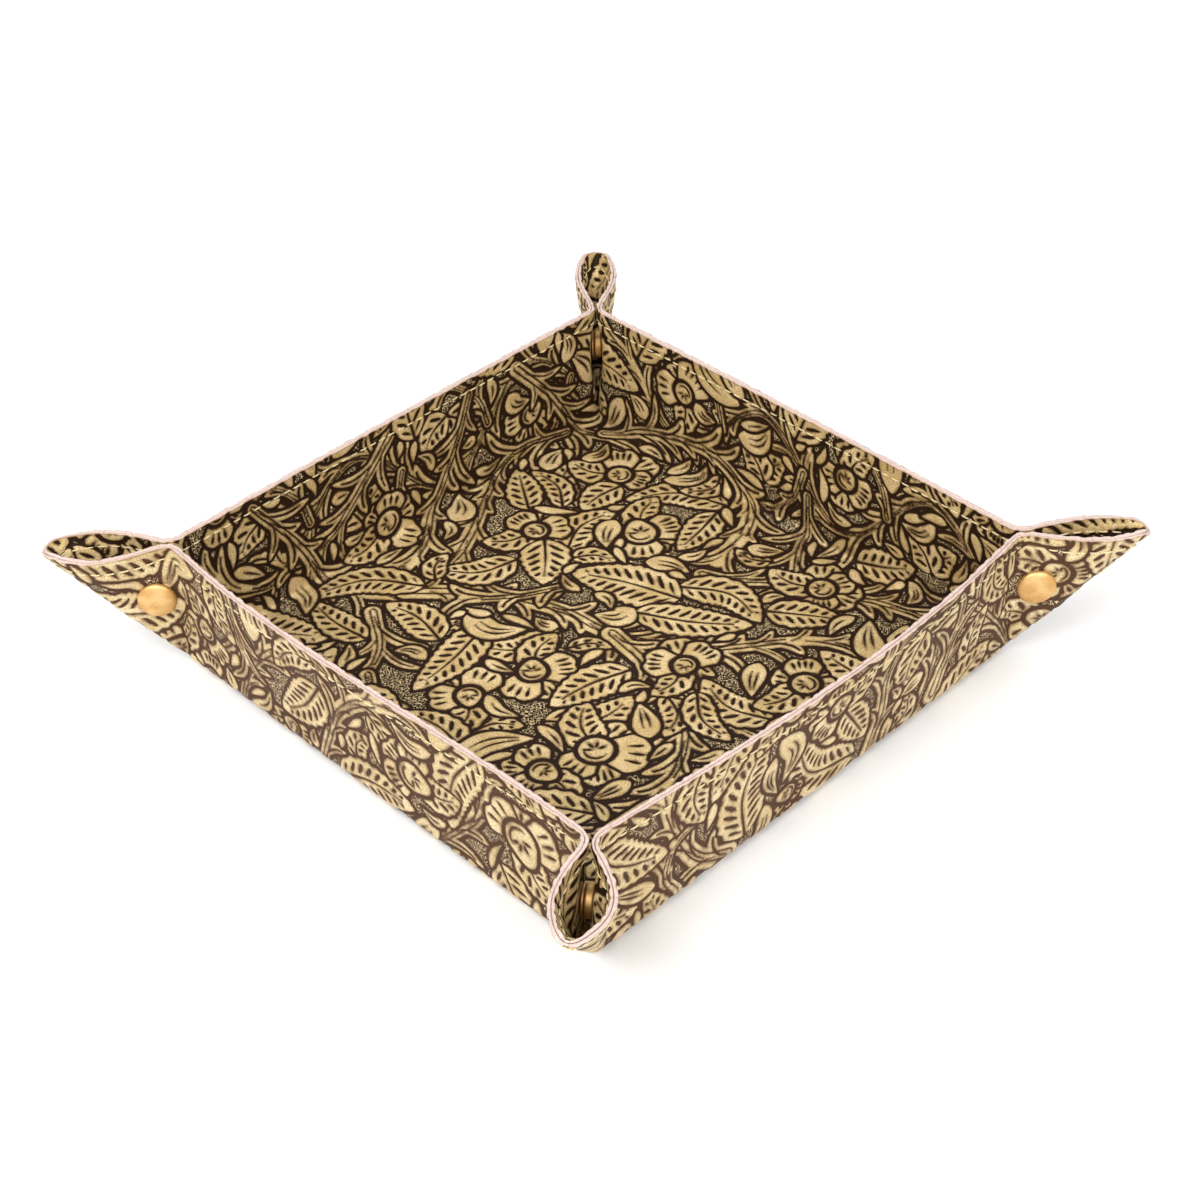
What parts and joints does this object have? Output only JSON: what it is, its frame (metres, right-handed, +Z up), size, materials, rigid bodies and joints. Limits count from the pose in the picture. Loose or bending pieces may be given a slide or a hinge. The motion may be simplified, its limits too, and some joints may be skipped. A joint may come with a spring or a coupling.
{
  "type": "leather tray",
  "caption": "Square leather tray of doubled, floral-tooled leather; press studs pinch its corners into ears and undo to let it open out nearly flat.",
  "frame": {"origin": "centre of the base's underside, on the surface that the tray rests on", "axes": "+Z up out of the tray, X and Y along the sides; the pictured front corner is at +X, -Y"},
  "size_m": [0.2471, 0.2524, 0.0494],
  "materials": {
    "leather_inside": "floral tooling, antiqued gold over dark brown",
    "leather_outside": "floral tooling, antiqued gold over brown, cut edges raw",
    "snap_brass": "satin"
  },
  "bodies": {
    "base": {"base_inner_ply": "leather_inside", "base_outer_ply": "leather_outside"},
    "front_wall": {"front_wall_inner_ply": "leather_inside", "front_wall_outer_ply": "leather_outside"},
    "right_wall": {"right_wall_inner_ply": "leather_inside", "right_wall_outer_ply": "leather_outside"},
    "back_wall": {"back_wall_inner_ply": "leather_inside", "back_wall_outer_ply": "leather_outside"},
    "left_wall": {"left_wall_inner_ply": "leather_inside", "left_wall_outer_ply": "leather_outside"},
    "front_right_front_wing": {"front_right_front_wing_inner_ply": "leather_inside", "front_right_front_wing_outer_ply": "leather_outside", "front_right_snap_stud": "snap_brass", "front_right_snap_post": "snap_brass"},
    "front_right_front_tip": {"front_right_front_tip_inner_ply": "leather_inside", "front_right_front_tip_outer_ply": "leather_outside"},
    "front_right_right_wing": {"front_right_right_wing_inner_ply": "leather_inside", "front_right_right_wing_outer_ply": "leather_outside", "front_right_snap_cap": "snap_brass", "front_right_snap_socket": "snap_brass"},
    "front_right_right_tip": {"front_right_right_tip_inner_ply": "leather_inside", "front_right_right_tip_outer_ply": "leather_outside"},
    "back_right_right_wing": {"back_right_right_wing_inner_ply": "leather_inside", "back_right_right_wing_outer_ply": "leather_outside", "back_right_snap_cap": "snap_brass", "back_right_snap_socket": "snap_brass"},
    "back_right_right_tip": {"back_right_right_tip_inner_ply": "leather_inside", "back_right_right_tip_outer_ply": "leather_outside"},
    "back_right_back_wing": {"back_right_back_wing_inner_ply": "leather_inside", "back_right_back_wing_outer_ply": "leather_outside", "back_right_snap_stud": "snap_brass", "back_right_snap_post": "snap_brass"},
    "back_right_back_tip": {"back_right_back_tip_inner_ply": "leather_inside", "back_right_back_tip_outer_ply": "leather_outside"},
    "back_left_back_wing": {"back_left_back_wing_inner_ply": "leather_inside", "back_left_back_wing_outer_ply": "leather_outside", "back_left_snap_cap": "snap_brass", "back_left_snap_socket": "snap_brass"},
    "back_left_back_tip": {"back_left_back_tip_inner_ply": "leather_inside", "back_left_back_tip_outer_ply": "leather_outside"},
    "back_left_left_wing": {"back_left_left_wing_inner_ply": "leather_inside", "back_left_left_wing_outer_ply": "leather_outside", "back_left_snap_stud": "snap_brass", "back_left_snap_post": "snap_brass"},
    "back_left_left_tip": {"back_left_left_tip_inner_ply": "leather_inside", "back_left_left_tip_outer_ply": "leather_outside"},
    "front_left_front_wing": {"front_left_front_wing_inner_ply": "leather_inside", "front_left_front_wing_outer_ply": "leather_outside", "front_left_snap_cap": "snap_brass", "front_left_snap_socket": "snap_brass"},
    "front_left_front_tip": {"front_left_front_tip_inner_ply": "leather_inside", "front_left_front_tip_outer_ply": "leather_outside"},
    "front_left_left_wing": {"front_left_left_wing_inner_ply": "leather_inside", "front_left_left_wing_outer_ply": "leather_outside", "front_left_snap_stud": "snap_brass", "front_left_snap_post": "snap_brass"},
    "front_left_left_tip": {"front_left_left_tip_inner_ply": "leather_inside", "front_left_left_tip_outer_ply": "leather_outside"}
  },
  "joints": [
    {"name": "front_wall_fold", "type": "hinge", "parent": "base", "child": "front_wall", "pos_m": [0, -0.0925, 0.0025], "axis": [1, 0, 0], "range_deg": [0, 80]},
    {"name": "right_wall_fold", "type": "hinge", "parent": "base", "child": "right_wall", "pos_m": [0.0925, 0, 0.0025], "axis": [0, 1, 0], "range_deg": [0, 80]},
    {"name": "back_wall_fold", "type": "hinge", "parent": "base", "child": "back_wall", "pos_m": [0, 0.0925, 0.0025], "axis": [-1, 0, 0], "range_deg": [0, 80]},
    {"name": "left_wall_fold", "type": "hinge", "parent": "base", "child": "left_wall", "pos_m": [-0.0925, 0, 0.0025], "axis": [0, -1, 0], "range_deg": [0, 80]},
    {"name": "front_right_front_wing_swing", "type": "hinge", "parent": "front_wall", "child": "front_right_front_wing", "pos_m": [0.0925, -0.0925, 0.0025], "axis": [0, 0, 1], "range_deg": [0, 66]},
    {"name": "front_right_front_tip_bend", "type": "hinge", "parent": "front_right_front_wing", "child": "front_right_front_tip", "pos_m": [0.0925, -0.0925, 0.0025], "axis": [-0.2001, 0.4437, -0.8735], "range_deg": [0, 34.8]},
    {"name": "front_right_right_wing_swing", "type": "hinge", "parent": "right_wall", "child": "front_right_right_wing", "pos_m": [0.0925, -0.0925, 0.0025], "axis": [0, 0, -1], "range_deg": [0, 50]},
    {"name": "front_right_right_tip_bend", "type": "hinge", "parent": "front_right_right_wing", "child": "front_right_right_tip", "pos_m": [0.0925, -0.0925, 0.0025], "axis": [0.4104, -0.2812, 0.8675], "range_deg": [0, 48.8]},
    {"name": "back_right_right_wing_swing", "type": "hinge", "parent": "right_wall", "child": "back_right_right_wing", "pos_m": [0.0925, 0.0925, 0.0025], "axis": [0, 0, 1], "range_deg": [0, 54]},
    {"name": "back_right_right_tip_bend", "type": "hinge", "parent": "back_right_right_wing", "child": "back_right_right_tip", "pos_m": [0.0925, 0.0925, 0.0025], "axis": [-0.3903, -0.3032, -0.8693], "range_deg": [0, 26.1]},
    {"name": "back_right_back_wing_swing", "type": "hinge", "parent": "back_wall", "child": "back_right_back_wing", "pos_m": [0.0925, 0.0925, 0.0025], "axis": [0, 0, -1], "range_deg": [0, 56.8]},
    {"name": "back_right_back_tip_bend", "type": "hinge", "parent": "back_right_back_wing", "child": "back_right_back_tip", "pos_m": [0.0925, 0.0925, 0.0025], "axis": [0.2608, 0.4198, 0.8693], "range_deg": [0, 26.1]},
    {"name": "back_left_back_wing_swing", "type": "hinge", "parent": "back_wall", "child": "back_left_back_wing", "pos_m": [-0.0925, 0.0925, 0.0025], "axis": [0, 0, 1], "range_deg": [0, 58]},
    {"name": "back_left_back_tip_bend", "type": "hinge", "parent": "back_left_back_wing", "child": "back_left_back_tip", "pos_m": [-0.0925, 0.0925, 0.0025], "axis": [0.2703, -0.4131, -0.8697], "range_deg": [0, 30.9]},
    {"name": "back_left_left_wing_swing", "type": "hinge", "parent": "left_wall", "child": "back_left_left_wing", "pos_m": [-0.0925, 0.0925, 0.0025], "axis": [0, 0, -1], "range_deg": [0, 58]},
    {"name": "back_left_left_tip_bend", "type": "hinge", "parent": "back_left_left_wing", "child": "back_left_left_tip", "pos_m": [-0.0925, 0.0925, 0.0025], "axis": [-0.4131, 0.2703, 0.8697], "range_deg": [0, 30.9]},
    {"name": "front_left_front_wing_swing", "type": "hinge", "parent": "front_wall", "child": "front_left_front_wing", "pos_m": [-0.0925, -0.0925, 0.0025], "axis": [0, 0, -1], "range_deg": [0, 62.9]},
    {"name": "front_left_front_tip_bend", "type": "hinge", "parent": "front_left_front_wing", "child": "front_left_front_tip", "pos_m": [-0.0925, -0.0925, 0.0025], "axis": [-0.2162, -0.4421, 0.8705], "range_deg": [0, 40]},
    {"name": "front_left_left_wing_swing", "type": "hinge", "parent": "left_wall", "child": "front_left_left_wing", "pos_m": [-0.0925, -0.0925, 0.0025], "axis": [0, 0, 1], "range_deg": [0, 60]},
    {"name": "front_left_left_tip_bend", "type": "hinge", "parent": "front_left_left_wing", "child": "front_left_left_tip", "pos_m": [-0.0925, -0.0925, 0.0025], "axis": [0.4077, 0.2756, -0.8705], "range_deg": [0, 40]}
  ],
  "couplings": [
    {"joint": "right_wall_fold", "follows": "front_wall_fold", "ratio": 1},
    {"joint": "back_wall_fold", "follows": "front_wall_fold", "ratio": 1},
    {"joint": "left_wall_fold", "follows": "front_wall_fold", "ratio": 1},
    {"joint": "front_right_front_wing_swing", "follows": "front_wall_fold", "ratio": 0.825},
    {"joint": "front_right_front_tip_bend", "follows": "front_wall_fold", "ratio": 0.435},
    {"joint": "front_right_right_wing_swing", "follows": "front_wall_fold", "ratio": 0.625},
    {"joint": "front_right_right_tip_bend", "follows": "front_wall_fold", "ratio": 0.61},
    {"joint": "back_right_right_wing_swing", "follows": "front_wall_fold", "ratio": 0.675},
    {"joint": "back_right_right_tip_bend", "follows": "front_wall_fold", "ratio": 0.325},
    {"joint": "back_right_back_wing_swing", "follows": "front_wall_fold", "ratio": 0.71},
    {"joint": "back_right_back_tip_bend", "follows": "front_wall_fold", "ratio": 0.325},
    {"joint": "back_left_back_wing_swing", "follows": "front_wall_fold", "ratio": 0.725},
    {"joint": "back_left_back_tip_bend", "follows": "front_wall_fold", "ratio": 0.385},
    {"joint": "back_left_left_wing_swing", "follows": "front_wall_fold", "ratio": 0.725},
    {"joint": "back_left_left_tip_bend", "follows": "front_wall_fold", "ratio": 0.385},
    {"joint": "front_left_front_wing_swing", "follows": "front_wall_fold", "ratio": 0.785},
    {"joint": "front_left_front_tip_bend", "follows": "front_wall_fold", "ratio": 0.5},
    {"joint": "front_left_left_wing_swing", "follows": "front_wall_fold", "ratio": 0.75},
    {"joint": "front_left_left_tip_bend", "follows": "front_wall_fold", "ratio": 0.5}
  ]
}
